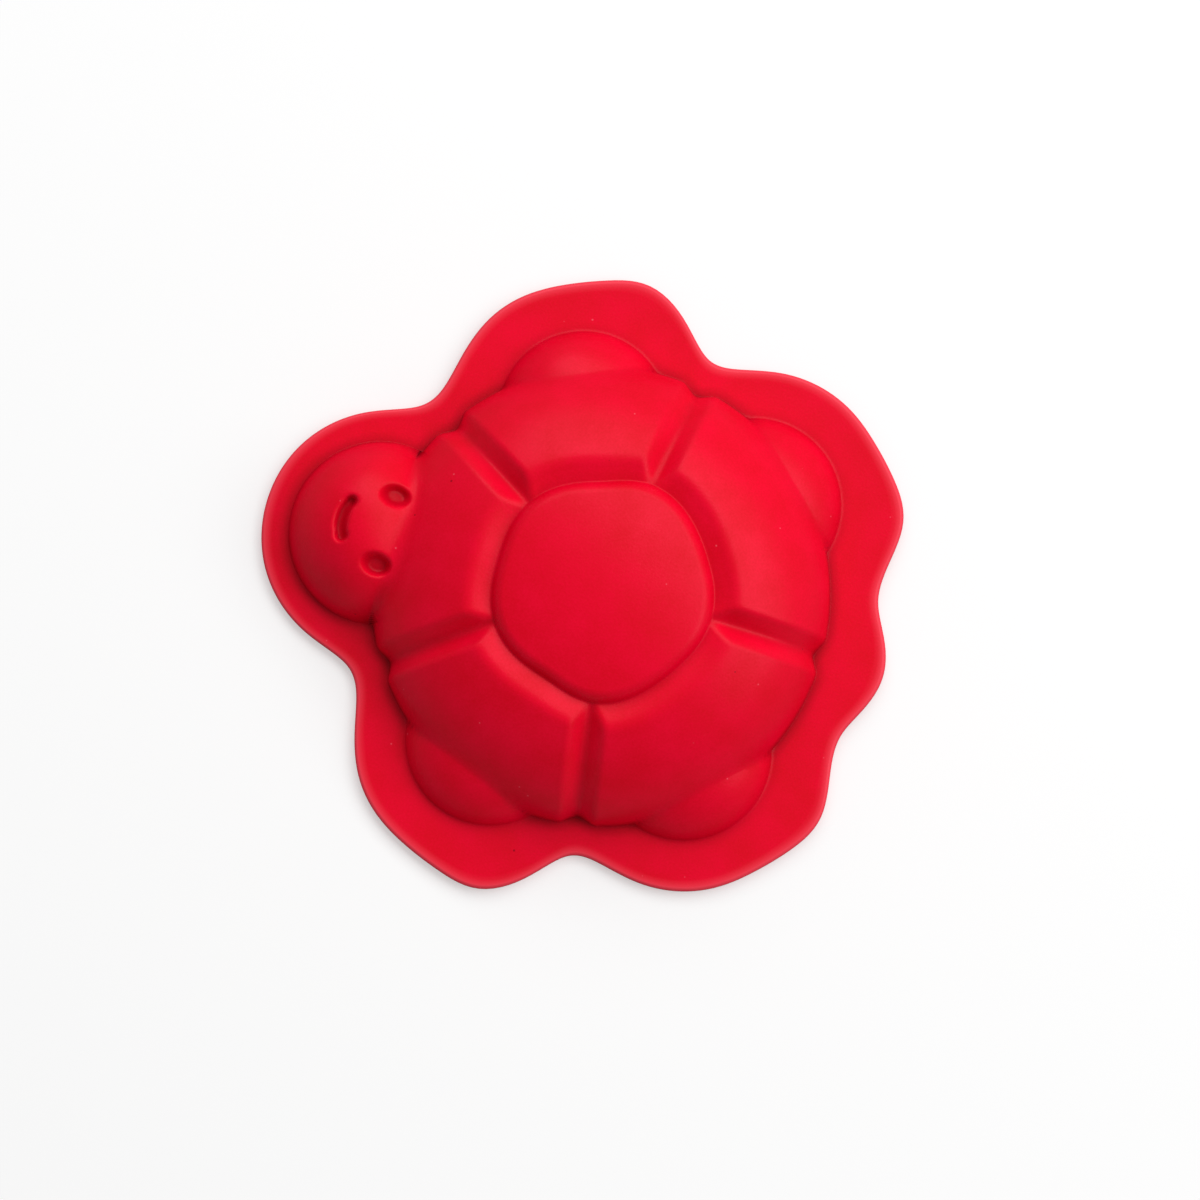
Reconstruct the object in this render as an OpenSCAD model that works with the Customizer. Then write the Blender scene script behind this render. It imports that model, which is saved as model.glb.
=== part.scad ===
// Turtle sand mould: one piece of compression-moulded silicone, open underneath.
// It is drawn as it lies on its flat rim, with the turtle's head towards +X and its shell up.
// Sand is packed into the hollow from below, and the shapes of shell, head and flippers are pressed into it.
// Lengths are in millimetres. The origin is the middle of the rim's outline, on the rim's flat underside.

/* [Rim and wall] */
// Reach of the rim from the shell's centre, at the front flippers
rim_reach = 60; // [58:0.5:66]
// Thickness of the silicone, in the rim and in the shell alike
wall = 2.4; // [1.6:0.1:3]
// Radius of the rounding along the rim's upper edge
rim_edge_radius = 1.2; // [0.6:0.1:2]
// Least width of flat rim outside the raised shapes
rim_least = 3; // [2:0.5:4]

/* [Shell] */
// Reach of the shell's foot from its centre, towards the head
shell_reach = 43.5; // [42:0.5:46]
// Rise of the shell's dome above the rim
shell_height = 22; // [18:0.1:28]

/* [Crown and moat] */
// Reach of the crown plate from the shell's centre
crown_reach = 20.7; // [18:0.1:23]
// How far the crown plate lies below the dome
crown_drop = 1; // [0:0.1:1.4]
// Radius of the rounding round the crown plate's upper edge
crown_edge_radius = 2.4; // [1.5:0.1:3]
// Width of the moat between the crown plate and the panels
moat_width = 4.3; // [3.5:0.1:5.5]
// Depth of the moat below its lip
moat_depth = 1.2; // [0.7:0.1:2]

/* [Grooves between the panels] */
// Direction of the two front grooves, in degrees from the head
front_groove_angle = 33; // [31:0.5:36]
// Direction of the two side grooves, in degrees from the head
side_groove_angle = 99; // [94:0.5:103]
// Half of a groove's width
groove_half_width = 3.3; // [2.4:0.1:4]
// Depth of a groove below the dome
groove_depth = 3.8; // [2.4:0.1:4.4]
// How far a groove draws the shell's foot inwards
groove_inset = 2; // [1:0.1:3]

/* [Head] */
// Distance of the head's centre from the shell's centre
head_out = 43.3; // [41:0.1:45]
// Radius of the head at its foot
head_radius = 17.2; // [16:0.1:19]
// Rise of the head's dome above the rim
head_height = 13.8; // [11:0.1:18]
// Where the head starts to slope down to the shell, from the shell's centre
neck_out = 49; // [46:0.5:52]
// Length of that slope, as far as the crease
neck_length = 10.5; // [8:0.5:13]
// Depth of that slope at the crease
neck_depth = 3.2; // [2:0.1:5]
// Distance of the eyes from the shell's centre, along the turtle
eye_out = 42; // [41:0.1:44]
// Distance of each eye from the turtle's middle line
eye_side = 6.6; // [5.5:0.1:7.5]
// Length of an eye, along the turtle
eye_length = 4.6; // [3.5:0.1:5.5]
// Width of an eye
eye_width = 3.5; // [2.6:0.1:4.2]
// Depth of an eye
eye_depth = 2.2; // [0.8:0.1:2.4]
// Centre of the smile's arc, from the shell's centre
smile_out = 43.5; // [42.5:0.1:44.5]
// Radius of the smile's arc
smile_radius = 6.9; // [6:0.1:8]
// Half of the smile's arc, in degrees
smile_half_angle = 29; // [22:1:36]
// Width of the smile's groove
smile_width = 1.9; // [1.4:0.1:2.6]
// Depth of the smile's groove
smile_depth = 2; // [0.8:0.1:2.4]

/* [Flippers] */
// Centre of a front flipper, forward of the shell's centre
front_flipper_x = 13; // [11:0.5:15]
// Centre of a front flipper, to the side
front_flipper_y = 31.6; // [30:0.1:33]
// Radius of a front flipper at its foot
front_flipper_radius = 15.8; // [14:0.1:17]
// Rise of a front flipper's dome, whose top lies inside the shell
front_flipper_height = 8.6; // [6:0.1:10]
// Centre of a rear flipper, behind the shell's centre
rear_flipper_x = -22.3; // [-24:0.1:-20]
// Centre of a rear flipper, to the side
rear_flipper_y = 24.1; // [22:0.1:26]
// Radius of a rear flipper at its foot
rear_flipper_radius = 16.2; // [14.5:0.1:17.5]
// Rise of a rear flipper's dome, whose top lies inside the shell
rear_flipper_height = 8.7; // [6:0.1:10]

/* [Blends] */
// Softness of the lip between moat and panels
lip_blend = 0.9; // [0.3:0.1:1.5]
// Softness where the moat meets the crown plate's wall
crown_blend = 0.8; // [0.3:0.1:1.5]
// Softness of the crease between head and shell
head_blend = 3.5; // [1:0.1:4]
// Softness of the creases between flippers and shell
flipper_blend = 1.5; // [0.8:0.1:3]
// Softness where the raised shapes meet the rim
foot_blend = 2; // [1:0.1:4]

/* [Hidden] */

// Outlines as reach by direction, in even steps from the head (first) to the tail (last)
rim_shares = [1.1, 1.085, 1.035, 0.945, 0.81, 0.82, 0.89, 0.955, 0.985, 0.99, 0.995, 1.005, 0.92, 0.79,
    0.825, 0.9, 0.95, 0.975, 0.975, 0.98, 0.98, 0.89, 0.84, 0.885, 0.915];
foot_shares = [1, 0.995, 0.99, 0.98, 0.965];
crown_shares = [0.97, 1, 1.025, 1.015, 0.975, 0.945, 1.005, 1.035, 1.005, 0.97, 0.955, 0.985, 0.995];

// Slope of the crown plate's wall
crown_wall_share = 4;
// Shapes of the domes of head and flippers: power of the distance, then power of the height
head_dome_shares = [2.3, 0.62];
flipper_dome_shares = [2, 0.65];
// A groove's rounded bottom and lips, as shares of its depth
groove_round_shares = [0.2, 0.2];
// Where the wall of an eye or the smile starts and how wide it is, as shares of its half width
sink_shares = [1.4, 0.85];

// Half of the strip beside each groove in which the grid runs parallel to it
strip = 1.5 * groove_half_width;
// Places of the grid's lines across half a strip, and across the parts between the strips
strip_shares = [0, 0.58, 0.74, 1];
head_sector_shares = [0, 0.06, 0.12, 0.165, 0.21, 0.25, 0.295, 0.34, 0.385, 0.435, 0.5, 0.59, 0.7, 0.84];
side_sector_shares = [0.07, 0.14, 0.22, 0.3, 0.38, 0.46, 0.54, 0.62, 0.7, 0.78, 0.86, 0.93];
tail_sector_shares = [0.06, 0.13, 0.21, 0.3, 0.39, 0.48, 0.56, 0.64, 0.72, 0.8, 0.88, 0.94];
// Places of the grid's rings: crown plate, its edge, moat, panels as far as the crease, then flippers and
// walls as far as the foot, the same rings on the head, and outside the foot
plate_ring_shares = [0.5, 1];
edge_ring_shares = [0.45, 0.8, 1];
moat_ring_shares = [0.3, 0.65, 0.93];
panel_ring_shares = [0, 0.05, 0.25, 0.5, 0.75, 0.92, 1];
wall_ring_shares = [0.08, 0.17, 0.26, 0.36, 0.46, 0.56, 0.65, 0.73, 0.8, 0.87, 0.93, 0.97, 1];
head_ring_shares = [0.05, 0.105, 0.155, 0.205, 0.26, 0.35, 0.485, 0.535, 0.585, 0.72, 0.85, 0.94, 1];
foot_ring_shares = [0.35, 1];
// Least width of the band of rings inside the foot, and the width of the one outside it
foot_band_in = 2.3 * wall;
foot_band_out = 0.5 * rim_least;
// Halvings in the search for the crease
crease_steps = 12;
// Step over which the slope of the outside is measured
slope_step = 0.6 * wall;
// Least height of the hollow just inside its mouth
mouth_lip = 0.2 * wall;

// Radius of the rim's rounding, less where the wall is too thin for it
rim_edge_r = min(rim_edge_radius, 0.9 * wall);
// The shell's centre lies behind the middle of the rim, because the head reaches further than the tail
shell_x = -rim_reach * (share_at(rim_shares, 0) - share_at(rim_shares, 180)) / 2;

mould_red = [0.88, 0.02, 0.13];

// The lower or the higher of two heights, with a soft change between them
function soft_min(a, b, k) = let (h = max(k - abs(a - b), 0) / k) min(a, b) - h * h * k / 4;
function soft_max(a, b, k) = -soft_min(-a, -b, k);

// A power that carries on below zero, so that a dome's wall goes down through its foot
function signed_pow(v, p) = v < 0 ? -pow(-v, p) : pow(v, p);

// A smooth step from 0 to 1
function smooth_step(v) = let (s = min(max(v, 0), 1)) s * s * (3 - 2 * s);

// Value of an outline table in one direction: a cubic B-spline, the same on both sides
function share_at(shares, angle) =
    let (
        last = len(shares) - 1,
        place = abs(angle) * last / 180,
        i = min(floor(place), last - 1),
        t = place - i,
        before = shares[abs(i - 1)],
        here = shares[i],
        next = shares[i + 1],
        after = shares[i + 2 > last ? last - 1 : i + 2]
    )
    (pow(1 - t, 3) * before + (3 * pow(t, 3) - 6 * pow(t, 2) + 4) * here
        + (-3 * pow(t, 3) + 3 * pow(t, 2) + 3 * t + 1) * next + pow(t, 3) * after) / 6;

// Cross-section of a groove, from 1 at its bottom to 0 beside it
function groove_cut(across) =
    soft_max(1 - norm([across / groove_half_width, groove_round_shares[0]]), 0, groove_round_shares[1]);

// The deepest groove at a point, where side is the distance from the turtle's middle line
function groove_at(x, side) =
    max([for (a = [front_groove_angle, side_groove_angle, 180])
        x * cos(a) + side * sin(a) > 0 ? groove_cut(side * cos(a) - x * sin(a)) : 0]);

// Height of a dome at a share of its radius
function dome(height, t, powers) = height * signed_pow(1 - pow(t, powers[0]), powers[1]);

// Depth of something sunk, from the distance to its middle as a share of its half width
function sink(depth, t) = depth * smooth_step((sink_shares[0] - t) / sink_shares[1]);

// Distance from the smile's arc
function smile_distance(x, y) =
    let (a = min(max(atan2(y, x - smile_out), -smile_half_angle), smile_half_angle))
    norm([x - smile_out - smile_radius * cos(a), y - smile_radius * sin(a)]);

// Height of the shell's dome as a share of its top, at a share of the way to its foot
function egg(share) = signed_pow(1 - pow(share, 2), 0.5);

// Rise of the panels, grooves, moat and crown plate
function shell_rise(x, side) =
    let (
        r = norm([x, side]),
        angle = atan2(side, x),
        crown_r = crown_reach * share_at(crown_shares, angle),
        moat_r = crown_r + moat_width,
        reach = shell_reach * share_at(foot_shares, angle),
        cut = groove_at(x, side),
        panel = (shell_height - groove_depth * cut) * egg(r / (reach - groove_inset * cut)),
        moat = shell_height * egg(moat_r / reach) - moat_depth * (moat_r - r) / moat_width,
        edge = min(max(r - crown_r + crown_edge_radius, 0), crown_edge_radius),
        plate = shell_height * egg(min(r, crown_r) / reach) - crown_drop
            - crown_edge_radius + sqrt(pow(crown_edge_radius, 2) - pow(edge, 2))
            - crown_wall_share * max(r - crown_r, 0)
    )
    soft_max(soft_min(panel, moat, lip_blend), plate, crown_blend);

// Rise of the head, with its neck sloping down to the shell
function head_rise(x, side) =
    dome(head_height, norm([x - head_out, side]) / head_radius, head_dome_shares)
    - neck_depth * pow(max(neck_out - x, 0) / neck_length, 2);

// How deep the eyes and the smile are sunk into the head
function face_depth(x, side) =
    sink(eye_depth, 2 * norm([(x - eye_out) / eye_length, (side - eye_side) / eye_width]))
    + sink(smile_depth, 2 * smile_distance(x, side) / smile_width);

// Rise of the two flippers of one side
function front_flipper_rise(x, side) =
    dome(front_flipper_height, norm([x - front_flipper_x, side - front_flipper_y]) / front_flipper_radius,
        flipper_dome_shares);
function rear_flipper_rise(x, side) =
    dome(rear_flipper_height, norm([x - rear_flipper_x, side - rear_flipper_y]) / rear_flipper_radius,
        flipper_dome_shares);

// Height of the outside without its face, above the rim's underside, at a point from the shell's centre
function plain_z(x, y) =
    let (
        side = abs(y),
        with_head = soft_max(shell_rise(x, side), head_rise(x, side), head_blend),
        with_front = soft_max(with_head, front_flipper_rise(x, side), flipper_blend),
        with_rear = soft_max(with_front, rear_flipper_rise(x, side), flipper_blend)
    )
    wall + soft_max(with_rear, 0, foot_blend);

// Height of the outside
function outside_z(x, y) = plain_z(x, y) - face_depth(x, abs(y));

// Height of the hollow: the outside, lowered by the wall measured square to the surface
function inside_z(x, y) =
    let (
        slope_x = (plain_z(x + slope_step, y) - plain_z(x - slope_step, y)) / (2 * slope_step),
        slope_y = (plain_z(x, y + slope_step) - plain_z(x, y - slope_step)) / (2 * slope_step)
    )
    max(outside_z(x, y) - wall * norm([1, slope_x, slope_y]), mouth_lip);

// How far a round lobe reaches from the shell's centre in one direction
function lobe_reach(angle, x, y, radius) =
    let (
        turn = angle - atan2(y, x),
        across = norm([x, y]) * sin(turn),
        left = pow(radius, 2) - pow(across, 2)
    )
    cos(turn) > 0 && left > 0 ? norm([x, y]) * cos(turn) + sqrt(left) : 0;

// The outermost foot of shell, head and flippers in one direction
function foot_reach(angle, across) =
    max(
        shell_reach * share_at(foot_shares, angle) - groove_inset * groove_cut(across),
        lobe_reach(abs(angle), head_out, 0, head_radius),
        lobe_reach(abs(angle), front_flipper_x, front_flipper_y, front_flipper_radius),
        lobe_reach(abs(angle), rear_flipper_x, rear_flipper_y, rear_flipper_radius)
    );

// Lines of the grid from head to tail on one side, each as [direction, share of the strip's angle, place
// across the groove]. Beside a groove they run parallel to it, and between the strips they fan out.
function strip_lines(angle, shares) = [for (s = shares) [angle, s, abs(s) * strip]];
function fan_lines(from, to, shares) =
    [for (s = shares) [from + (to - from) * s, 1 - 2 * s, strip]];
whole_strip_shares = concat([for (i = [len(strip_shares) - 1:-1:1]) -strip_shares[i]], strip_shares);
tail_strip_shares = [for (i = [len(strip_shares) - 1:-1:0]) -strip_shares[i]];
half_lines = concat(
    [for (s = head_sector_shares) [front_groove_angle * s, -s, strip]],
    strip_lines(front_groove_angle, whole_strip_shares),
    fan_lines(front_groove_angle, side_groove_angle, side_sector_shares),
    strip_lines(side_groove_angle, whole_strip_shares),
    fan_lines(side_groove_angle, 180, tail_sector_shares),
    strip_lines(180, tail_strip_shares)
);
half_count = len(half_lines);
line_count = 2 * half_count - 2;

// Direction of a grid line at a distance from the centre, on the side that its number gives
function line_at(i) = half_lines[i < half_count ? i : line_count - i];
function line_side(i) = i < half_count ? 1 : -1;
function line_angle(i, r) =
    let (line = line_at(i))
    line_side(i) * (line[0] + line[1] * asin(strip / max(r, crown_reach)));

// A place at a distance from the shell's centre along a grid line
function line_point(i, r) = let (a = line_angle(i, r)) [r * cos(a), r * sin(a)];
function outside_point(i, r) = let (p = line_point(i, r)) [p.x, p.y, outside_z(p.x, p.y)];
function inside_point(i, r) = let (p = line_point(i, r)) [p.x, p.y, inside_z(p.x, p.y)];
function flat_point(i, r, z) = let (p = line_point(i, r)) [p.x, p.y, z];

// Distance at which head or flipper comes out of the shell, found by halving the way to the foot
function lobes_rise(x, side) =
    max(head_rise(x, side), front_flipper_rise(x, side), rear_flipper_rise(x, side));
function crease_reach(i, near, far, steps) =
    let (r = (near + far) / 2, p = line_point(i, r), side = abs(p.y))
    steps == 0 ? r
    : lobes_rise(p.x, side) > shell_rise(p.x, side) ? crease_reach(i, near, r, steps - 1)
    : crease_reach(i, r, far, steps - 1);

// How much of the head's own ring places a line takes: all of them in front, none past the front grooves
function head_weight(i) = smooth_step(2 - 2 * abs(line_angle(i, head_out)) / front_groove_angle);

// All points along one grid line: over the outside to the rim's edge, round it, and back inside the hollow
function line_points(i) =
    let (
        crown_r = crown_reach * share_at(crown_shares, line_angle(i, crown_reach)),
        plate_r = crown_r - crown_edge_radius,
        moat_r = crown_r + moat_width,
        foot_r = foot_reach(line_angle(i, shell_reach), line_at(i)[2]),
        crease_r = min(crease_reach(i, moat_r, foot_r, crease_steps), foot_r - foot_band_in),
        mouth_r = foot_r - wall,
        rim_r = max(rim_reach * share_at(rim_shares, line_angle(i, rim_reach)), foot_r + rim_least),
        w = head_weight(i),
        last = len(wall_ring_shares) - 1,
        wall_places = [for (k = [0:last]) w * head_ring_shares[k] + (1 - w) * wall_ring_shares[k]]
    )
    concat(
        [for (s = plate_ring_shares) outside_point(i, plate_r * s)],
        [for (s = edge_ring_shares) outside_point(i, plate_r + crown_edge_radius * s)],
        [for (s = moat_ring_shares) outside_point(i, crown_r + moat_width * s)],
        [for (s = panel_ring_shares) outside_point(i, moat_r + (crease_r - moat_r) * s)],
        [for (s = wall_places) outside_point(i, crease_r + (foot_r - crease_r) * s)],
        [for (s = foot_ring_shares) outside_point(i, foot_r + foot_band_out * s)],
        [for (a = [0:30:90])
            flat_point(i, rim_r - rim_edge_r * (1 - sin(a)), wall - rim_edge_r * (1 - cos(a)))],
        [flat_point(i, rim_r, 0), flat_point(i, mouth_r, 0)],
        [for (k = [last - 1:-1:0]) inside_point(i, crease_r + (mouth_r - crease_r) * wall_places[k])],
        [for (k = [len(panel_ring_shares) - 1:-1:1])
            inside_point(i, moat_r + (crease_r - moat_r) * panel_ring_shares[k])],
        [inside_point(i, crown_r + moat_width * moat_ring_shares[1])],
        [inside_point(i, crown_r + moat_width * moat_ring_shares[0])],
        [inside_point(i, crown_r)],
        [inside_point(i, plate_r)]
    );

// How far a diagonal's middle misses the outside. A diagonal inside the hollow counts its length instead.
function outside_miss(p, q) = let (m = (p + q) / 2) abs(m.z - outside_z(m.x, m.y));
function diagonal_cost(p, q, is_outside) = is_outside ? outside_miss(p, q) : norm(p - q);

// The mould: one closed skin through all grid lines, closed at the crown's middle above and below
module mould_body() {
    lines = [for (i = [0:line_count - 1]) line_points(i)];
    ring_count = len(lines[0]);
    outside_count = len(plate_ring_shares) + len(edge_ring_shares) + len(moat_ring_shares)
        + len(panel_ring_shares) + len(wall_ring_shares) + len(foot_ring_shares);
    middle = line_count * ring_count;
    points = concat(
        [for (line = lines) each line],
        [[0, 0, outside_z(0, 0)], [0, 0, inside_z(0, 0)]]
    );
    sides = [for (i = [0:line_count - 1])
        for (k = [0:ring_count - 2])
            let (
                a = i * ring_count + k,
                b = (i + 1) % line_count * ring_count + k,
                is_outside = k < outside_count,
                one = diagonal_cost(points[b], points[a + 1], is_outside),
                other = diagonal_cost(points[a], points[b + 1], is_outside)
            )
            each (one < other ? [[a, b, a + 1], [b, b + 1, a + 1]] : [[a, b, b + 1], [a, b + 1, a + 1]])];
    ends = [for (i = [0:line_count - 1])
        let (a = i * ring_count, b = (i + 1) % line_count * ring_count)
        each [[middle, b, a], [middle + 1, a + ring_count - 1, b + ring_count - 1]]];
    color(mould_red)
        translate([shell_x, 0, 0])
            polyhedron(points = points, faces = concat(sides, ends));
}

mould_body();
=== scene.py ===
# %% [markdown]
# A turtle sand mould. The real object is one skin of red silicone, pressed in a heated steel tool. A child
# packs wet sand into its hollow, turns it over on the beach and peels it off.
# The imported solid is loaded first. It fixes where the mould is and how large it may be, and this script
# gives the same mould the smooth skin and the finish that the solid leaves out.

import bpy
import numpy as np
from mathutils import Matrix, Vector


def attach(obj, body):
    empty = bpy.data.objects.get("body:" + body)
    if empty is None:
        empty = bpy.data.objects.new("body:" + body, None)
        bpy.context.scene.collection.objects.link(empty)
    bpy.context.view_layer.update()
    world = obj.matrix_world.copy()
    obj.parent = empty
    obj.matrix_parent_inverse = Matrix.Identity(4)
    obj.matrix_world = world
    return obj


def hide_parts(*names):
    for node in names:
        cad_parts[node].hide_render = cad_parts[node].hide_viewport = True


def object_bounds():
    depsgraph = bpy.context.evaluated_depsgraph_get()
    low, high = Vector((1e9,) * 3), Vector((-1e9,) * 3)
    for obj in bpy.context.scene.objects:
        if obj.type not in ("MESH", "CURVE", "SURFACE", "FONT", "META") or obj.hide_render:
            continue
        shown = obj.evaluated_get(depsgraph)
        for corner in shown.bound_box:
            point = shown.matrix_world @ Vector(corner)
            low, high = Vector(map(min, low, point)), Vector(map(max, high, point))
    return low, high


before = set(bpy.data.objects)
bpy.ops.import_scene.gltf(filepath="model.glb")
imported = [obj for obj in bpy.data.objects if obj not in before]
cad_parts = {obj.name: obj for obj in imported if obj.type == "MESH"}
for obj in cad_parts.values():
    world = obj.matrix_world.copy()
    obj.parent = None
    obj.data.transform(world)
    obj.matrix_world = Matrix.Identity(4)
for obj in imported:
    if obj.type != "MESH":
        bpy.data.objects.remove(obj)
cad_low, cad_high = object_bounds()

MM = 0.001
print("pieces of the solid:", *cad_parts)
print("frame box in mm:", [round(v / MM, 2) for v in (*cad_low, *cad_high)])

# %% [markdown]
# The outlines of rim, shell and crown wander in and out as one goes round. Each is a short list of reaches
# in even steps of direction, from head to tail, and a smooth curve is drawn towards them. Left and right
# are mirror images, so only the size of the angle counts.

# %% Outlines by direction
RIM_SHARES = [1.1, 1.085, 1.035, 0.945, 0.81, 0.82, 0.89, 0.955, 0.985, 0.99, 0.995, 1.005, 0.92, 0.79,
              0.825, 0.9, 0.95, 0.975, 0.975, 0.98, 0.98, 0.89, 0.84, 0.885, 0.915]
FOOT_SHARES = [1, 0.995, 0.99, 0.98, 0.965]
CROWN_SHARES = [0.97, 1, 1.025, 1.015, 0.975, 0.945, 1.005, 1.035, 1.005, 0.97, 0.955, 0.985, 0.995]
SHELL_REACH = 43.5
CROWN_REACH = 20.7


def share_at(shares, angle):
    """Value of an outline in a direction: a cubic B-spline, with b, h, n, a the four shares round it and t
    the way from h to n,
    ((1 - t)^3 b + (3 t^3 - 6 t^2 + 4) h + (-3 t^3 + 3 t^2 + 3 t + 1) n + t^3 a) / 6."""
    table = np.array(shares)
    last = len(table) - 1
    place = np.abs(angle) * last / np.pi
    i = np.minimum(np.floor(place).astype(int), last - 1)
    t = place - i
    b, h, n = table[np.abs(i - 1)], table[i], table[i + 1]
    a = table[np.where(i + 2 > last, last - 1, i + 2)]
    near_two = (1 - t) ** 3 * b + (3 * t**3 - 6 * t**2 + 4) * h
    return (near_two + (-3 * t**3 + 3 * t**2 + 3 * t + 1) * n + t**3 * a) / 6


# %% [markdown]
# The mould could be sculpted by hand, or built from many small pieces and then smoothed. Both would blur
# the crisp lips of the shell, and neither could be measured. So the outside is a height worked out at any
# place from a few sizes, in millimetres, measured from the middle of the shell. The frame's box gives the
# three sizes that fix where the skin lies.

# %% Sizes from the frame
WALL = 2.4
CROWN_DROP = 1
HEAD_SHARE, TAIL_SHARE = share_at(RIM_SHARES, np.array([0, np.pi]))
RIM_REACH = (cad_high.x - cad_low.x) / MM / (HEAD_SHARE + TAIL_SHARE)
SHELL_X = cad_low.x / MM + RIM_REACH * TAIL_SHARE
SHELL_HEIGHT = cad_high.z / MM - WALL + CROWN_DROP
print(f"rim reach {RIM_REACH:.2f}, shell's middle at {SHELL_X:.2f}, dome {SHELL_HEIGHT:.2f} above the rim")

# %% [markdown]
# Where two forms meet on a pressed part there is never a knife edge: the tool's cutter leaves a small
# radius. Two heights are joined here by a soft minimum or maximum, which is the plain one with a rounded
# corner of a chosen size. The same two functions make every lip, crease and foot of the mould.

# %% Soft joins
def soft_min(a, b, k):
    """The lower of two heights, rounded where they cross: min(a, b) - h h k / 4, with h the share
    max(k - |a - b|, 0) / k."""
    h = np.maximum(k - np.abs(a - b), 0) / k
    return np.minimum(a, b) - h * h * k / 4


def soft_max(a, b, k):
    """The higher of two heights, rounded where they cross: the soft minimum, upside down."""
    return -soft_min(-a, -b, k)


def signed_pow(v, p):
    """A power that goes on below zero: sign(v) |v|^p. A dome's wall then runs down through its foot."""
    return np.sign(v) * np.abs(v) ** p


def smooth_step(v):
    """A soft step from 0 to 1: s s (3 - 2 s), with s = v held between 0 and 1."""
    s = np.clip(v, 0, 1)
    return s * s * (3 - 2 * s)


# %% [markdown]
# The shell is one low dome, half an egg lying on its side. V grooves run down it and part five panels, and
# a moat parts them from the crown, a plate that bulges as the dome does and lies a little lower. Each
# groove lowers the dome and draws its foot inwards, so that the side wall gets its notch from the same cut.

# %% Shell, grooves, moat and crown
GROOVE_ANGLES = np.radians([33, 99, 180])
GROOVE_HALF_WIDTH = 3.3
GROOVE_DEPTH = 3.8
GROOVE_INSET = 2
GROOVE_BOTTOM_SHARE = 0.2
GROOVE_LIP_SHARE = 0.2
MOAT_WIDTH = 4.3
MOAT_DEPTH = 1.2
CROWN_EDGE = 2.4
CROWN_WALL_SLOPE = 4
LIP_BLEND = 0.9
CROWN_BLEND = 0.8


def groove_at(x, side):
    """Depth of the deepest groove, from 0 to 1: a V, 1 - |across| / half width, with its bottom and its
    lips rounded."""
    cuts = []
    for angle in GROOVE_ANGLES:
        across = (side * np.cos(angle) - x * np.sin(angle)) / GROOVE_HALF_WIDTH
        cut = soft_max(1 - np.hypot(across, GROOVE_BOTTOM_SHARE), 0, GROOVE_LIP_SHARE)
        cuts.append(np.where(x * np.cos(angle) + side * np.sin(angle) > 0, cut, 0))
    return np.maximum.reduce(cuts)


def egg(share):
    """Height of the dome as a share of its top, at a share of the way to its foot: sqrt(1 - share^2)."""
    return signed_pow(1 - share**2, 0.5)


def crown_reach(angle):
    """Distance of the crown's foot from the shell's middle, in a direction."""
    return CROWN_REACH * share_at(CROWN_SHARES, angle)


def shell_reach(angle):
    """Distance of the shell's foot in a direction, before the grooves draw it in."""
    return SHELL_REACH * share_at(FOOT_SHARES, angle)


def shell_rise(x, side):
    """Panels: the dome less the groove. Moat: a straight slope up from the crown's foot to the lip. Crown:
    the dome less its drop, with a quarter-round edge and a steep wall."""
    r = np.hypot(x, side)
    angle = np.arctan2(side, x)
    crown_r = crown_reach(angle)
    moat_r = crown_r + MOAT_WIDTH
    reach = shell_reach(angle)
    cut = groove_at(x, side)
    panel = (SHELL_HEIGHT - GROOVE_DEPTH * cut) * egg(r / (reach - GROOVE_INSET * cut))
    moat = SHELL_HEIGHT * egg(moat_r / reach) - MOAT_DEPTH * (moat_r - r) / MOAT_WIDTH
    edge = np.clip(r - crown_r + CROWN_EDGE, 0, CROWN_EDGE)
    rounded = np.sqrt(CROWN_EDGE**2 - edge**2) - CROWN_EDGE
    wall = CROWN_WALL_SLOPE * np.maximum(r - crown_r, 0)
    plate = SHELL_HEIGHT * egg(np.minimum(r, crown_r) / reach) - CROWN_DROP + rounded - wall
    return soft_max(soft_min(panel, moat, LIP_BLEND), plate, CROWN_BLEND)


# %% [markdown]
# Head and flippers are pillows that swell out of the shell's side. A pillow is a dome with two powers: one
# makes its top flatter or fuller, the other its side steeper. The head's back slopes down to the shell.
# The turtle's face is two oval pits and a curved groove, each with a flat floor and soft walls.

# %% Head, face and flippers
HEAD_OUT, HEAD_RADIUS, HEAD_HEIGHT = 43.3, 17.2, 13.8
HEAD_POWERS = (2.3, 0.62)
NECK_OUT, NECK_LENGTH, NECK_DEPTH = 49, 10.5, 3.2
FLIPPERS = {"front": (13, 31.6, 15.8, 8.6), "rear": (-22.3, 24.1, 16.2, 8.7)}
FLIPPER_POWERS = (2, 0.65)
EYE_OUT, EYE_SIDE, EYE_LENGTH, EYE_WIDTH, EYE_DEPTH = 42, 6.6, 4.6, 3.5, 2.2
SMILE_OUT, SMILE_RADIUS, SMILE_WIDTH, SMILE_DEPTH = 43.5, 6.9, 1.9, 2
SMILE_HALF_ANGLE = np.radians(29)
SINK_START, SINK_WALL = 1.4, 0.85


def dome(height, t, powers):
    """Height of a pillow at a share t of its radius: height (1 - t^p)^q."""
    return height * signed_pow(1 - t ** powers[0], powers[1])


def head_rise(x, side):
    """The head's pillow, less a parabola that lowers its back towards the shell."""
    neck = NECK_DEPTH * (np.maximum(NECK_OUT - x, 0) / NECK_LENGTH) ** 2
    return dome(HEAD_HEIGHT, np.hypot(x - HEAD_OUT, side) / HEAD_RADIUS, HEAD_POWERS) - neck


def flipper_rise(x, side, name):
    """The pillow of one flipper, whose top lies inside the shell."""
    out, across, radius, height = FLIPPERS[name]
    return dome(height, np.hypot(x - out, side - across) / radius, FLIPPER_POWERS)


def sink(depth, t):
    """Depth of a pit with a flat floor, from the distance t to its middle as a share of its half width."""
    return depth * smooth_step((SINK_START - t) / SINK_WALL)


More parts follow.
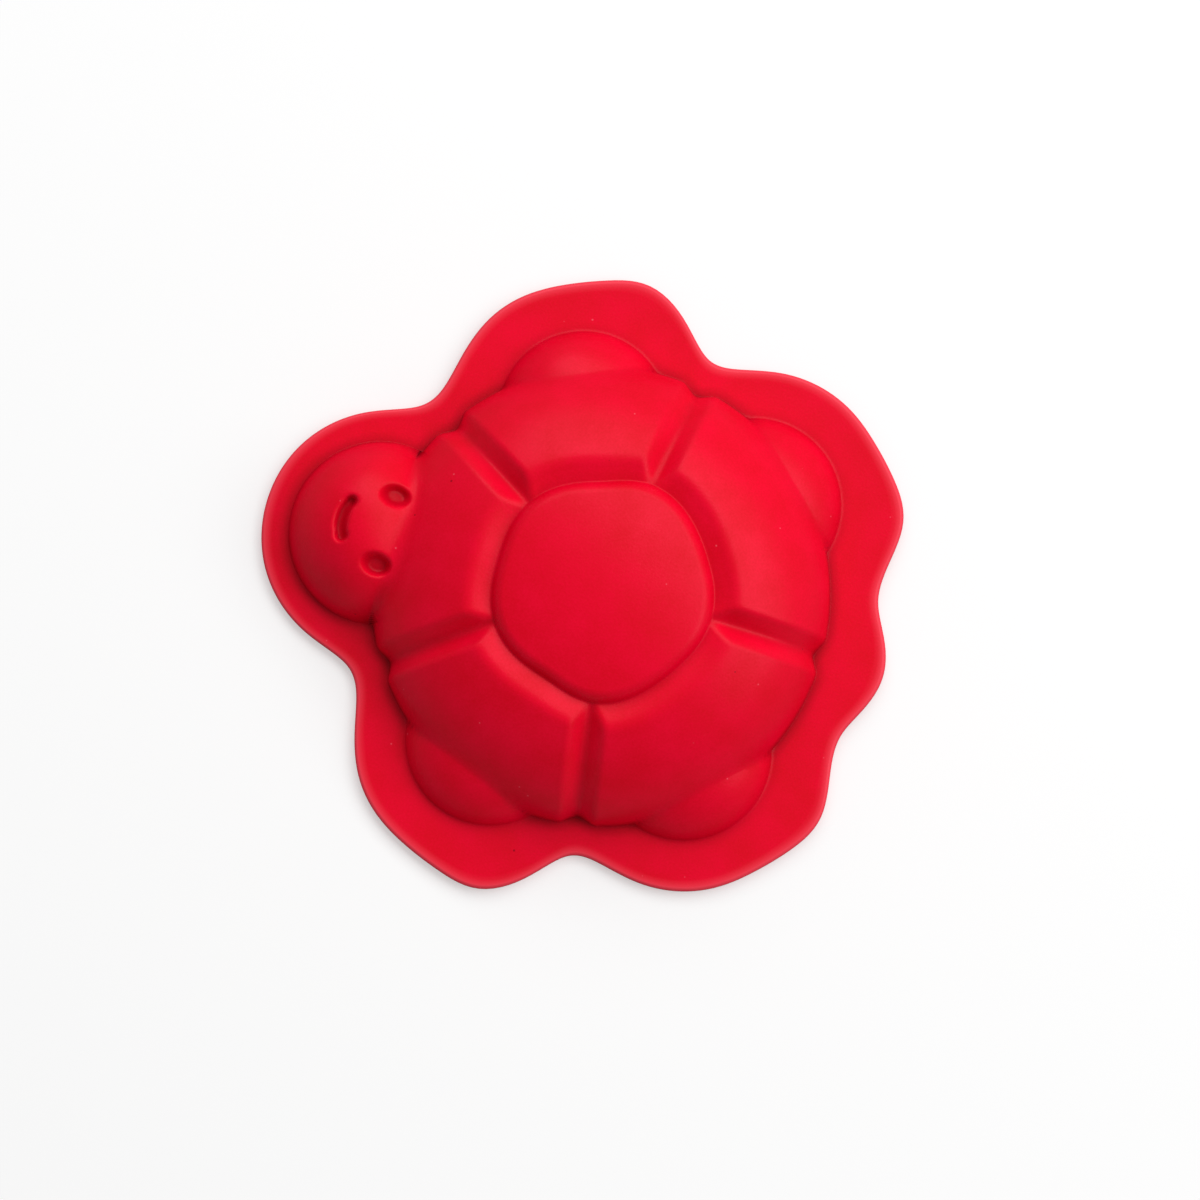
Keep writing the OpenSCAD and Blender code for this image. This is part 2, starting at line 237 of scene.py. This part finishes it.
def face_depth(x, side):
    """Eyes: a pit by the distance in an oval. Smile: a pit by the distance to an arc of a circle."""
    eye = 2 * np.hypot((x - EYE_OUT) / EYE_LENGTH, (side - EYE_SIDE) / EYE_WIDTH)
    turn = np.clip(np.arctan2(side, x - SMILE_OUT), -SMILE_HALF_ANGLE, SMILE_HALF_ANGLE)
    smile = np.hypot(x - SMILE_OUT - SMILE_RADIUS * np.cos(turn), side - SMILE_RADIUS * np.sin(turn))
    return sink(EYE_DEPTH, eye) + sink(SMILE_DEPTH, 2 * smile / SMILE_WIDTH)


# %% [markdown]
# The outside is the highest of all these forms and the flat rim. The hollow follows it at one wall: the
# height is lowered by the wall measured square to the surface, which is more on a steep side. The slope is
# measured on the outside without its face, so that the pits don't make the hollow's roof spiky.
# How deep a place lies is worked out here too, because painted shade makes the red deeper there.

# %% Outside and hollow
HEAD_BLEND, FLIPPER_BLEND, FOOT_BLEND = 3.5, 1.5, 2
SLOPE_STEP = 0.6 * WALL
MOUTH_LIP = 0.2 * WALL
# Painted shade: its reach round a place and the depth at which it is full, in mm. PIT_SHADE is its strength
# in the face's pits.
PAINTED_SHADE_SPAN, PAINTED_SHADE_FULL = 2.2, 4.2
PIT_SHADE = 0.55


def plain_z(x, y):
    """Height of the outside without its face, above the rim's underside."""
    side = np.abs(y)
    rise = soft_max(shell_rise(x, side), head_rise(x, side), HEAD_BLEND)
    for name in FLIPPERS:
        rise = soft_max(rise, flipper_rise(x, side, name), FLIPPER_BLEND)
    return WALL + soft_max(rise, 0, FOOT_BLEND)


def outside_z(x, y):
    """Height of the outside with its face."""
    return plain_z(x, y) - face_depth(x, np.abs(y))


def painted_shade_share(x, y):
    """Share of painted shade, from 0 to 1, by how deep a place lies. Crease: the mean height at
    PAINTED_SHADE_SPAN round it less its own, as a share of PAINTED_SHADE_FULL. Pit of the face: its depth
    as a share of an eye's, times PIT_SHADE."""
    turns = np.radians(np.arange(0, 360, 45))
    round_it = [outside_z(x + PAINTED_SHADE_SPAN * np.cos(a), y + PAINTED_SHADE_SPAN * np.sin(a)) for a in turns]
    crease = (np.mean(round_it, axis=0) - outside_z(x, y)) / PAINTED_SHADE_FULL
    pit = PIT_SHADE * face_depth(x, np.abs(y)) / EYE_DEPTH
    return np.clip(np.maximum(crease, pit), 0, 1)


def inside_z(x, y):
    """Height of the hollow: outside - wall sqrt(1 + slope_x^2 + slope_y^2), with central differences."""
    slope_x = (plain_z(x + SLOPE_STEP, y) - plain_z(x - SLOPE_STEP, y)) / (2 * SLOPE_STEP)
    slope_y = (plain_z(x, y + SLOPE_STEP) - plain_z(x, y - SLOPE_STEP)) / (2 * SLOPE_STEP)
    return np.maximum(outside_z(x, y) - WALL * np.sqrt(1 + slope_x**2 + slope_y**2), MOUTH_LIP)


# %% [markdown]
# A height needs a grid. A square one would cut across every lip in steps, so this grid is drawn like a
# spider's web: lines run out from the middle, and rings go round. Beside a groove the lines run parallel
# to it, so its bottom and its lips are lines of the grid and stay straight. A line is two numbers, an angle
# and a bend, and its direction at a distance r is angle + bend asin(half strip / r).

# %% Lines of the web
HALF_STRIP = 1.5 * GROOVE_HALF_WIDTH
STRIP_STEPS, HEAD_STEPS, SIDE_STEPS, TAIL_STEPS = 14, 60, 44, 60


def fan(from_angle, to_angle, from_bend, to_bend, steps):
    """Lines in even steps between two lines, without the last one."""
    s = np.linspace(0, 1, steps, endpoint=False)
    angles = from_angle + (to_angle - from_angle) * s
    return np.column_stack([angles, from_bend + (to_bend - from_bend) * s])


front, middle, back = GROOVE_ANGLES
half_web = np.concatenate([
    fan(0, front, 0, -1, HEAD_STEPS),
    fan(front, front, -1, 1, 2 * STRIP_STEPS),
    fan(front, middle, 1, -1, SIDE_STEPS),
    fan(middle, middle, -1, 1, 2 * STRIP_STEPS),
    fan(middle, back, 1, -1, TAIL_STEPS),
    fan(back, back, -1, 0, STRIP_STEPS),
    [[back, 0]],
])
web = np.concatenate([half_web, -half_web[-2:0:-1]])
print("lines of the web:", len(web))


def line_angle(r):
    """Direction of every line at its own distance r from the shell's middle."""
    return web[:, :1] + web[:, 1:] * np.arcsin(HALF_STRIP / np.maximum(r, CROWN_REACH))


def line_xy(r):
    """Places on every line at the distances r, one row for each line."""
    angle = line_angle(r)
    return r * np.cos(angle), r * np.sin(angle)


# %% [markdown]
# The rings follow the forms too: crown, moat, lip, crease, foot and rim each have rings at their own
# distance, found on every line. Where head or flipper comes out of the shell there is no formula for that
# distance, so it is found by halving the way again and again, on all lines at once.

# %% Where each form begins and ends
RIM_LEAST = 3
SETTLE_ROUNDS = 6
CREASE_HALVINGS = 14
FOOT_BAND = 2.3 * WALL


def lobe_reach(angle, out, across, radius):
    """How far a round lobe reaches from the shell's middle, with d the distance of its own middle and turn
    the angle to it: d cos(turn) + sqrt(radius^2 - (d sin(turn))^2)."""
    d = np.hypot(out, across)
    turn = np.abs(angle) - np.arctan2(across, out)
    under_root = radius**2 - (d * np.sin(turn)) ** 2
    reach = d * np.cos(turn) + np.sqrt(np.maximum(under_root, 0))
    return np.where((np.cos(turn) > 0) & (under_root > 0), reach, 0)


def shell_foot(angle):
    """Reach of the shell's own foot, drawn in where a groove runs down."""
    reach = shell_reach(angle)
    side = np.abs(reach * np.sin(angle))
    return reach - GROOVE_INSET * groove_at(reach * np.cos(angle), side)


def foot_reach(angle):
    """The outermost foot of shell, head and flippers."""
    lobes = [lobe_reach(angle, HEAD_OUT, 0, HEAD_RADIUS)]
    lobes += [lobe_reach(angle, *FLIPPERS[name][:3]) for name in FLIPPERS]
    return np.maximum.reduce([shell_foot(angle), *lobes])


def settle(reach, start):
    """Distance at which each line meets an outline given by direction: r = reach(direction at r), worked
    out again and again until it settles."""
    r = np.full((len(web), 1), float(start))
    for _ in range(SETTLE_ROUNDS):
        r = reach(line_angle(r))
    return r


def find_crease(near, far):
    """Distance at which head or flipper rises out of the shell, by halving the way between near and far."""
    for _ in range(CREASE_HALVINGS):
        r = (near + far) / 2
        x, y = line_xy(r)
        side = np.abs(y)
        lobes = [head_rise(x, side)] + [flipper_rise(x, side, name) for name in FLIPPERS]
        outside = np.maximum.reduce(lobes) > shell_rise(x, side)
        near, far = np.where(outside, near, r), np.where(outside, r, far)
    return far


def rim_reach(angle):
    """Reach of the rim, never closer than RIM_LEAST to the foot."""
    return np.maximum(RIM_REACH * share_at(RIM_SHARES, angle), foot_reach(angle) + RIM_LEAST)


crown_r = settle(crown_reach, CROWN_REACH)
moat_r = crown_r + MOAT_WIDTH
foot_r = settle(foot_reach, SHELL_REACH)
crease_r = np.minimum(find_crease(moat_r, foot_r), foot_r - FOOT_BAND)
rim_r = settle(rim_reach, RIM_REACH)
mouth_r = foot_r - WALL
for form, reach in (("crown", crown_r), ("crease", crease_r), ("foot", foot_r), ("rim", rim_r)):
    print(f"{form} from {reach.min():.1f} to {reach.max():.1f} mm from the shell's middle")

# %% [markdown]
# Along each line the rings lie close where the surface bends and far apart where it is flat. At the rim
# the line goes round the rounded upper edge and a tiny lower one, then back under the rim and up into the
# hollow, as far as the middle of the crown. So one grid makes the whole closed skin. The upper edge starts
# at 80 degrees, a little past its top, because the last ring of the outside already lies there.

# %% Rings of the web
RIM_EDGE, RIM_UNDER_EDGE, MOUTH_EDGE = 0.8, 0.25, 0.35
RIM_EDGE_START = 80
RIM_EDGE_STEPS, SMALL_EDGE_STEPS = 9, 4
LIP_BAND, CREASE_BAND, FOOT_IN, FOOT_OUT = 0.9, 0.9, 1.2, 1.3


def rings(near, far, count):
    """Distances in even steps between two rings, without the first."""
    return near + (far - near) * np.linspace(0, 1, count + 1)[1:]


plate_r = crown_r - CROWN_EDGE
edge_r = rim_r - RIM_EDGE
outside_r = np.hstack([
    rings(0, plate_r, 5),
    rings(plate_r, crown_r + CROWN_BLEND, 15),
    rings(crown_r + CROWN_BLEND, moat_r - LIP_BAND, 8),
    rings(moat_r - LIP_BAND, moat_r + LIP_BAND, 9),
    rings(moat_r + LIP_BAND, crease_r - CREASE_BAND, 20),
    rings(crease_r - CREASE_BAND, crease_r + CREASE_BAND, 9),
    rings(crease_r + CREASE_BAND, foot_r - FOOT_IN, 40),
    rings(foot_r - FOOT_IN, foot_r + FOOT_OUT, 19),
    rings(foot_r + FOOT_OUT, edge_r, 12),
])
inside_r = np.hstack([
    rings(mouth_r, crease_r, 22),
    rings(crease_r, moat_r, 10),
    rings(moat_r, crown_r, 8),
    rings(crown_r, plate_r, 4),
    rings(plate_r, 0, 4)[:, :-1],
])


def height_rings(r, height):
    """Points of the rings at distances r, with their height from a function of place."""
    x, y = line_xy(r)
    return np.stack([x, y, height(x, y)], axis=-1)


def corner_rings(r, z, radius, first, last, count):
    """Points round a small rounded corner: r + radius cos a, z + radius sin a, in even steps of a from the
    first angle to the last, in degrees."""
    a = np.radians(np.linspace(first, last, count))
    x, y = line_xy(r + radius * np.cos(a))
    return np.stack([x, y, np.broadcast_to(z + radius * np.sin(a), x.shape)], axis=-1)


grid = np.concatenate([
    height_rings(outside_r, outside_z),
    corner_rings(edge_r, WALL - RIM_EDGE, RIM_EDGE, RIM_EDGE_START, 0, RIM_EDGE_STEPS),
    corner_rings(rim_r - RIM_UNDER_EDGE, RIM_UNDER_EDGE, RIM_UNDER_EDGE, 0, -90, SMALL_EDGE_STEPS),
    corner_rings(mouth_r + MOUTH_EDGE, MOUTH_EDGE, MOUTH_EDGE, 270, 180, SMALL_EDGE_STEPS),
    height_rings(inside_r, inside_z),
], axis=1)
origin = np.zeros(1)
top, bottom = [np.array([0, 0, *height(origin, origin)]) for height in (outside_z, inside_z)]
print("lines, rings:", grid.shape[:2])


# %% [markdown]
# The grid becomes a mesh of four-sided faces: each face joins two neighbouring lines and two neighbouring
# rings, and the last line is joined to the first. A fan of triangles closes the middle above and below.

# %% Mesh of the skin
def closed_skin(name, points, first, last):
    """Mesh object from a grid of points in mm, one row for each line, closed by a fan of triangles to one
    point at each end. Points are moved from the shell's middle to the frame, and scaled to metres."""
    line_count, ring_count = points.shape[:2]
    here = np.arange(line_count)[:, None] * ring_count
    there = np.roll(here, -1, axis=0)
    k = np.arange(ring_count - 1)
    quads = np.stack([here + k, here + k + 1, there + k + 1, there + k], axis=-1).reshape(-1, 4)
    first_point = line_count * ring_count
    start, next_start = here[:, 0], there[:, 0]
    end, next_end = start + ring_count - 1, next_start + ring_count - 1
    fan_top = np.column_stack([np.full(line_count, first_point), start, next_start])
    fan_bottom = np.column_stack([np.full(line_count, first_point + 1), next_end, end])
    vertices = np.vstack([points.reshape(-1, 3), first, last]) + [SHELL_X, 0, 0]
    faces = quads.tolist() + fan_top.tolist() + fan_bottom.tolist()
    mesh = bpy.data.meshes.new(name)
    mesh.from_pydata((vertices * MM).tolist(), [], faces)
    mesh.shade_smooth()
    obj = bpy.data.objects.new(name, mesh)
    bpy.context.scene.collection.objects.link(obj)
    print(name, "vertices:", len(mesh.vertices), "triangles:", 2 * len(quads) + 2 * line_count)
    return obj


mould = closed_skin("turtle_mould_skin", grid, top, bottom)
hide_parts("mould_body")
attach(mould, "root")

# %% [markdown]
# Two marks of painted light and shade follow the shape, and a pattern on plain coordinates can't know
# either.
# Creases and pits get painted shade, a deeper red where shade falls. Along the rim's edge a painted pale
# band stands in for the light that shows at the thin edge. Both are written to the mesh as an attribute,
# one number from 0 to 1 for each point.

# %% Painted shade in creases and painted light on the rim's edge
# Width of the painted pale band of light along the rim's edge, in mm.
EDGE_LIGHT_WIDTH = 2.3
outside_count = outside_r.shape[1]
painted_shade_shares = np.zeros(grid.shape[:2])
painted_shade_shares[:, :outside_count] = painted_shade_share(*line_xy(outside_r))
edge_light_shares = np.zeros(grid.shape[:2])
edge_light_shares[:, :outside_count] = smooth_step(1 - (rim_r - outside_r) / EDGE_LIGHT_WIDTH)
edge_light_shares[:, outside_count:outside_count + RIM_EDGE_STEPS] = 1
for name, values in (("crease", painted_shade_shares), ("painted_edge_light", edge_light_shares)):
    attribute = mould.data.attributes.new(name, "FLOAT", "POINT")
    attribute.data.foreach_set("value", np.append(values.ravel(), [0, 0]))
    print(f"{name}: up to {values.max():.2f}, above a half on {np.mean(values > 0.5):.1%} of the points")

# %% [markdown]
# Colours are written as the hex values that a picture editor shows, and one function turns them into the
# linear values that a renderer works with. One more function adds a node, sets it up and links it. Some
# inputs share a name, as the colours of a Mix node do, and those are called by their number.

# %% Helpers for materials
def srgb(hex_colour):
    """Linear colour of a hex value: c / 12.92 below 0.04045, and ((c + 0.055) / 1.055)^2.4 above it."""
    c = np.array([int(hex_colour[i:i + 2], 16) for i in (1, 3, 5)]) / 255
    return (*np.where(c <= 0.04045, c / 12.92, ((c + 0.055) / 1.055) ** 2.4), 1.0)


def new_material(name):
    """An empty material with nodes."""
    material = bpy.data.materials.new(name)
    material.use_nodes = True
    material.node_tree.nodes.clear()
    return material


def add_node(tree, kind, settings=()):
    """Adds a node. Settings are pairs of an input, by name or number, or a property, and its value. A value
    that is the output of another node is linked to the input."""
    node = tree.nodes.new(kind)
    for key, value in settings:
        if isinstance(value, bpy.types.NodeSocket):
            tree.links.new(value, node.inputs[key])
        elif isinstance(key, int) or key in node.inputs:
            node.inputs[key].default_value = value
        else:
            setattr(node, key, value)
    return node


# %% [markdown]
# The mould is silicone rubber, compression moulded in a tool whose face was blasted with grit. The grit
# prints a fine, even grain, which spreads every reflection wide, so the skin looks matt and powdery and
# lit slopes turn a little paler. Blasting grit is about a tenth of a millimetre, too fine to show here, so
# the grain is drawn as coarse as it needs to show. Dust and lint cling to silicone as pale specks, and
# tiny dark specks are scattered over the skin. Solid silicone has an IOR of 1.4, but a blasted face mirrors
# less than a smooth one, and a lower IOR gives that.

# %% Blasted red silicone
GRAIN_MM, MOTTLE_MM = 0.4, 7
GRAIN_DETAIL, MOTTLE_DETAIL = 2, 3
GRAIN_WEIGHT = 0.9
TONE_RANGE = [("From Min", 0.65), ("From Max", 1.25)]
PLAIN_RED, PALE_RED = "#DF001F", "#ED042E"
DUST_SPACING_MM, DUST_MM, DUST_COLOUR = 5, 0.22, "#F04A5C"
# Tiny dark specks, scattered at random over the skin.
DARK_SPECK_SPACING_MM, DARK_SPECK_MM, DARK_SPECK_COLOUR = 9, 0.26, "#A00018"
SPOT_CORE_SHARE = 0.6
# Painted shade in creases and pits, and a painted pale band of light along the rim's edge.
PAINTED_SHADE_AND_LIGHT = {"crease": "#920010", "painted_edge_light": "#F43E50"}
ROUGHNESS_RANGE = [("To Min", 0.41), ("To Max", 0.29)]
GRAIN_RELIEF_MM, GRAIN_STRENGTH = 0.05, 0.5
SKIN_IOR = 1.2


def blasted_silicone():
    """Matt red silicone. Grain and a faint mottle, summed, set how pale and how glossy a place is, and the
    grain alone makes the relief. Each overlay is a share from 0 to 1 and a colour, laid over what is below
    it: below (1 - share) + colour share."""
    material = new_material("silicone_moulded_blasted_red")
    tree = material.node_tree
    place = add_node(tree, "ShaderNodeTexCoord").outputs["Object"]
    mottle = add_node(tree, "ShaderNodeTexNoise", [
        ("Vector", place), ("Scale", 1 / (MOTTLE_MM * MM)), ("Detail", MOTTLE_DETAIL),
    ]).outputs["Fac"]
    grain = add_node(tree, "ShaderNodeTexNoise", [
        ("Vector", place), ("Scale", 1 / (GRAIN_MM * MM)), ("Detail", GRAIN_DETAIL),
    ]).outputs["Fac"]
    tone = add_node(tree, "ShaderNodeMath", [
        ("operation", "MULTIPLY_ADD"), (0, grain), (1, GRAIN_WEIGHT), (2, mottle),
    ]).outputs[0]
    paleness = add_node(tree, "ShaderNodeMapRange", [("Value", tone), *TONE_RANGE]).outputs["Result"]
    overlays = [(paleness, PALE_RED)]
    for spacing, radius, spot_colour in (
        (DUST_SPACING_MM, DUST_MM, DUST_COLOUR),
        (DARK_SPECK_SPACING_MM, DARK_SPECK_MM, DARK_SPECK_COLOUR),
    ):
        distance = add_node(tree, "ShaderNodeTexVoronoi", [
            ("Vector", place), ("Scale", 1 / (spacing * MM)),
        ]).outputs["Distance"]
        is_spot = add_node(tree, "ShaderNodeMapRange", [
            ("Value", distance),
            ("From Min", radius / spacing),
            ("From Max", SPOT_CORE_SHARE * radius / spacing),
        ]).outputs["Result"]
        overlays.append((is_spot, spot_colour))
    # Painted shade and painted edge light, each laid over the red by its share in the mesh.
    for name, painted_colour in PAINTED_SHADE_AND_LIGHT.items():
        painted_share = add_node(tree, "ShaderNodeAttribute", [("attribute_name", name)]).outputs["Fac"]
        overlays.append((painted_share, painted_colour))
    colour = srgb(PLAIN_RED)
    for share, over in overlays:
        colour = add_node(tree, "ShaderNodeMix", [
            ("data_type", "RGBA"), (0, share), (6, colour), (7, srgb(over)),
        ]).outputs[2]
    roughness = add_node(tree, "ShaderNodeMapRange", [
        ("Value", tone), *TONE_RANGE, *ROUGHNESS_RANGE,
    ]).outputs["Result"]
    relief = add_node(tree, "ShaderNodeBump", [
        ("Height", grain), ("Strength", GRAIN_STRENGTH), ("Distance", GRAIN_RELIEF_MM * MM),
    ]).outputs["Normal"]
    surface = add_node(tree, "ShaderNodeBsdfPrincipled", [
        ("Base Color", colour), ("Roughness", roughness), ("IOR", SKIN_IOR), ("Normal", relief),
    ]).outputs["BSDF"]
    add_node(tree, "ShaderNodeOutputMaterial", [("Surface", surface)])
    return material


mould.data.materials.append(blasted_silicone())
print("finish:", mould.data.materials[0].name)

# %% [markdown]
# The floor is plain card. The camera sees it as white card with a little extra white laid over it, so that
# the soft shadow stays and the lamps needn't be turned up. What it throws back on the mould is that of a
# pale grey card, because the mould stood on a small table in a darker room. Steep walls mirror the floor,
# and there it is a dark card, so that they keep their full red as in the photograph.

# %% Floor
FLOOR_HALF = 4.0
WHITE_SHARE = 0.45
CARD_SEEN, CARD_LIT, CARD_MIRRORED = "#FFFFFF", "#D8D8D8", "#484848"


def pale_card():
    """Card in three tones: white with white laid over its shade for the camera, dark for mirror rays, and
    pale grey for all other light."""
    material = new_material("card_white_matt")
    tree = material.node_tree
    rays = add_node(tree, "ShaderNodeLightPath").outputs
    seen, lit, mirrored = [
        add_node(tree, "ShaderNodeBsdfDiffuse", [("Color", srgb(tone))]).outputs[0]
        for tone in (CARD_SEEN, CARD_LIT, CARD_MIRRORED)
    ]
    white = add_node(tree, "ShaderNodeEmission", [("Color", srgb(CARD_SEEN)), ("Strength", 1.0)]).outputs[0]
    for_camera = add_node(tree, "ShaderNodeMixShader", [
        (0, WHITE_SHARE), (1, seen), (2, white),
    ]).outputs[0]
    for_others = add_node(tree, "ShaderNodeMixShader", [
        (0, rays["Is Glossy Ray"]), (1, lit), (2, mirrored),
    ]).outputs[0]
    card = add_node(tree, "ShaderNodeMixShader", [
        (0, rays["Is Camera Ray"]), (1, for_others), (2, for_camera),
    ]).outputs[0]
    add_node(tree, "ShaderNodeOutputMaterial", [("Surface", card)])
    return material


corners = [(x * FLOOR_HALF, y * FLOOR_HALF, 0) for x, y in ((-1, -1), (1, -1), (1, 1), (-1, 1))]
floor_mesh = bpy.data.meshes.new("floor")
floor_mesh.from_pydata(corners, [], [(0, 1, 2, 3)])
floor_mesh.materials.append(pale_card())
floor = bpy.data.objects.new("floor", floor_mesh)
bpy.context.scene.collection.objects.link(floor)
print("floor:", 2 * FLOOR_HALF, "m wide")

# %% [markdown]
# One very wide soft lamp stands to the turtle's right, a little more than half way up, so that the slopes
# that face it are bright and pale and the far slopes are deep red. It isn't overhead, so the rim and the
# crown, which mirror what is overhead, keep the plain red of the pigment. A pale room fills the rest.

# %% Light
LAMP_AZIMUTH, LAMP_ELEVATION = np.radians(-118), np.radians(51)
LAMP_DISTANCE, LAMP_WIDTH, LAMP_HEIGHT = 1.2, 4.0, 0.9
LAMP_LEVEL = 2.1
SKY_LEVEL = 0.3


def direction(azimuth, elevation):
    """Unit vector from the mould towards a place in the sky: cos(azimuth) cos(elevation), sin(azimuth)
    cos(elevation), sin(elevation)."""
    flat = np.cos(elevation)
    return np.array([np.cos(azimuth) * flat, np.sin(azimuth) * flat, np.sin(elevation)])


def turned(right, up, back, place):
    """World matrix of a lamp or camera that looks along minus back from a place."""
    matrix = np.eye(4)
    matrix[:3, :] = np.column_stack([right, up, back, place])
    return Matrix(matrix.tolist())


def add_lamp(name, azimuth, elevation, distance, width, height, level):
    """A soft lamp with an oblong face. A small one would give a white card that faces it this level, so
    watts = level pi^2 distance^2."""
    lamp = bpy.data.lights.new(name, "AREA")
    lamp.shape = "RECTANGLE"
    lamp.size, lamp.size_y = width, height
    lamp.energy = level * np.pi**2 * distance**2
    back = direction(azimuth, elevation)
    right = np.cross([0, 0, 1], back)
    right /= np.linalg.norm(right)
    obj = bpy.data.objects.new(name, lamp)
    obj.matrix_world = turned(right, np.cross(back, right), back, distance * back)
    bpy.context.scene.collection.objects.link(obj)
    print(f"{name}: {lamp.energy:.1f} W, {width} m by {height} m, {distance} m away")


add_lamp("key_lamp", LAMP_AZIMUTH, LAMP_ELEVATION, LAMP_DISTANCE, LAMP_WIDTH, LAMP_HEIGHT, LAMP_LEVEL)

world = bpy.data.worlds.new("pale_room")
world.use_nodes = True
world_tree = world.node_tree
world_tree.nodes.clear()
is_camera = add_node(world_tree, "ShaderNodeLightPath").outputs["Is Camera Ray"]
strength = add_node(world_tree, "ShaderNodeMapRange", [
    ("Value", is_camera), ("To Min", SKY_LEVEL), ("To Max", 1.0),
]).outputs["Result"]
sky = add_node(world_tree, "ShaderNodeBackground", [
    ("Color", srgb("#FFFFFF")), ("Strength", strength),
]).outputs["Background"]
add_node(world_tree, "ShaderNodeOutputWorld", [("Surface", sky)])
bpy.context.scene.world = world
bpy.context.scene.view_settings.view_transform = "Standard"

# %% [markdown]
# The photograph looks almost straight down on the mould through a long lens, with the head to the left.
# The camera leans a little, so the crown shifts against the rim.

# %% Camera
HEAD_TURN = np.radians(164.2)
CAMERA_LEAN = 0.086
CAMERA_DISTANCE = 1.0
VIEW_WIDTH = 0.2249
VIEW_MIDDLE = np.array([SHELL_X + 0.57, 0.62, 0]) * MM
SENSOR_MM = 36

picture_right = np.array([np.cos(HEAD_TURN), -np.sin(HEAD_TURN), 0])
picture_up = np.array([np.sin(HEAD_TURN), np.cos(HEAD_TURN), 0])
towards_camera = np.array([0, 0, 1]) - CAMERA_LEAN * picture_up
towards_camera /= np.linalg.norm(towards_camera)
camera = bpy.data.objects.new("camera", bpy.data.cameras.new("camera"))
camera.data.sensor_width = SENSOR_MM
camera.data.lens = SENSOR_MM * CAMERA_DISTANCE / VIEW_WIDTH
camera.matrix_world = turned(picture_right, np.cross(towards_camera, picture_right), towards_camera,
                             VIEW_MIDDLE + CAMERA_DISTANCE * towards_camera)
bpy.context.scene.collection.objects.link(camera)
bpy.context.scene.camera = camera
lean_degrees = np.degrees(np.arctan(CAMERA_LEAN))
print(f"lens {camera.data.lens:.0f} mm, leaning {lean_degrees:.1f} degrees from straight down")
